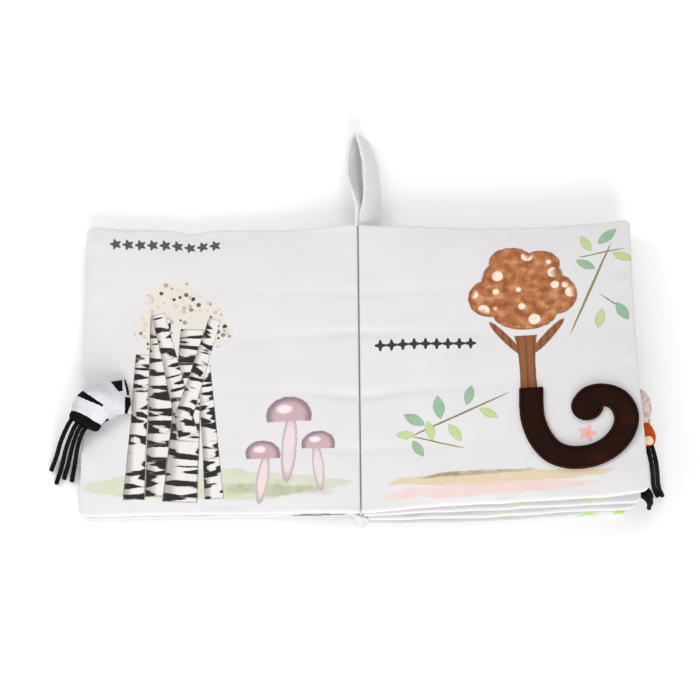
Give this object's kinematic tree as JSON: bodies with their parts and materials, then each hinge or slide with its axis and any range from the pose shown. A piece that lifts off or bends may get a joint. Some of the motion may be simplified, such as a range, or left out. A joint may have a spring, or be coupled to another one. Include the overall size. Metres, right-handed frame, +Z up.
{
  "type": "crinkle cloth book",
  "caption": "Soft padded cloth book for a baby, lying open, with crinkling leaves, a carrying loop and stuffed and felt tails sewn to its leaves.",
  "frame": {"origin": "on the underside of the spine, midway along it, on the surface that the book lies on", "axes": "+X to the right-hand page, +Y to the head of the book, +Z up off the table"},
  "size_m": [0.3993, 0.2668, 0.0566],
  "materials": {
    "page_cloth": "printed soft woven polyester, matt",
    "loop_cloth": "plain woven tape, matt",
    "wadding": "soft polyester wadding",
    "crinkle_film": "thin crackling film",
    "striped_plush": "short white plush with black stripes",
    "black_plush": "short black plush",
    "black_cord": "round woven black cord",
    "brown_felt": "dense dark brown felt",
    "mottled_plush": "short mottled pink-grey plush",
    "amber_plush": "short amber plush with a cream tip"
  },
  "bodies": {
    "spine": {"spine_cover": "page_cloth", "spine_binding": "page_cloth", "leaf_6_upper_panel": "page_cloth", "leaf_6_lower_panel": "page_cloth", "leaf_6_crinkle_film": "crinkle_film", "leaf_6_padding": "wadding"},
    "leaf_1": {"leaf_1_upper_panel": "page_cloth", "leaf_1_lower_panel": "page_cloth", "leaf_1_crinkle_film": "crinkle_film", "leaf_1_padding": "wadding"},
    "leaf_2": {"leaf_2_upper_panel": "page_cloth", "leaf_2_lower_panel": "page_cloth", "leaf_2_crinkle_film": "crinkle_film", "leaf_2_padding": "wadding"},
    "leaf_3": {"leaf_3_upper_panel": "page_cloth", "leaf_3_lower_panel": "page_cloth", "leaf_3_crinkle_film": "crinkle_film", "leaf_3_padding": "wadding"},
    "leaf_4": {"leaf_4_upper_panel": "page_cloth", "leaf_4_lower_panel": "page_cloth", "leaf_4_crinkle_film": "crinkle_film", "leaf_4_padding": "wadding"},
    "leaf_5": {"leaf_5_upper_panel": "page_cloth", "leaf_5_lower_panel": "page_cloth", "leaf_5_crinkle_film": "crinkle_film", "leaf_5_padding": "wadding", "corner_tab": "black_plush", "corner_cord_1": "black_cord", "corner_cord_2": "black_cord", "corner_cord_3": "black_cord"},
    "loop": {"carry_loop": "loop_cloth"},
    "plush_tail": {"striped_tail": "striped_plush", "striped_tail_band": "black_plush", "striped_tail_cord_1": "black_cord", "striped_tail_cord_2": "black_cord", "striped_tail_cord_3": "black_cord", "striped_tail_cord_4": "black_cord"},
    "felt_tail": {"felt_tail_lower_layer": "brown_felt", "felt_tail_upper_layer": "brown_felt"},
    "edge_tail": {"mottled_tail": "mottled_plush", "mottled_tail_tip": "amber_plush", "mottled_tail_cord_1": "black_cord", "mottled_tail_cord_2": "black_cord"}
  },
  "joints": [
    {"name": "leaf_3_turn", "type": "hinge", "parent": "spine", "child": "leaf_3", "pos_m": [0, 0, 0.0179], "axis": [0, -1, 0], "range_deg": [0, 160]},
    {"name": "leaf_4_drag", "type": "hinge", "parent": "spine", "child": "leaf_4", "pos_m": [0, 0, 0.0179], "axis": [0, -1, 0], "range_deg": [0, 8]},
    {"name": "leaf_5_drag", "type": "hinge", "parent": "spine", "child": "leaf_5", "pos_m": [0, 0, 0.0179], "axis": [0, -1, 0], "range_deg": [0, 4]},
    {"name": "front_cover_turn", "type": "hinge", "parent": "spine", "child": "leaf_1", "pos_m": [0, 0, 0.0179], "axis": [0, -1, 0], "range_deg": [-157, 0]},
    {"name": "leaf_2_drop", "type": "hinge", "parent": "leaf_1", "child": "leaf_2", "pos_m": [0, 0, 0.0179], "axis": [0, -1, 0], "range_deg": [-6.5, 0]},
    {"name": "carry_loop_lift", "type": "hinge", "parent": "spine", "child": "loop", "pos_m": [0.0026, 0.1, 0.0179], "axis": [1, 0, 0], "range_deg": [0, 85]},
    {"name": "striped_tail_wag", "type": "hinge", "parent": "leaf_2", "child": "plush_tail", "pos_m": [-0.1507, -0.0203, 0.0136], "axis": [0, 0, 1], "range_deg": [-22, 0]},
    {"name": "felt_tail_lift", "type": "hinge", "parent": "leaf_3", "child": "felt_tail", "pos_m": [0.1102, -0.0249, 0.03851], "axis": [-0.9889, -0.0678, -0.1321], "range_deg": [0, 165]},
    {"name": "mottled_tail_wag", "type": "hinge", "parent": "leaf_4", "child": "edge_tail", "pos_m": [0.1642, -0.0275, 0.02937], "axis": [0, 0, 1], "range_deg": [0, 14]}
  ],
  "couplings": [
    {"joint": "leaf_4_drag", "follows": "leaf_3_turn", "ratio": 0.05},
    {"joint": "leaf_5_drag", "follows": "leaf_3_turn", "ratio": 0.025},
    {"joint": "leaf_2_drop", "follows": "front_cover_turn", "ratio": 0.04}
  ]
}
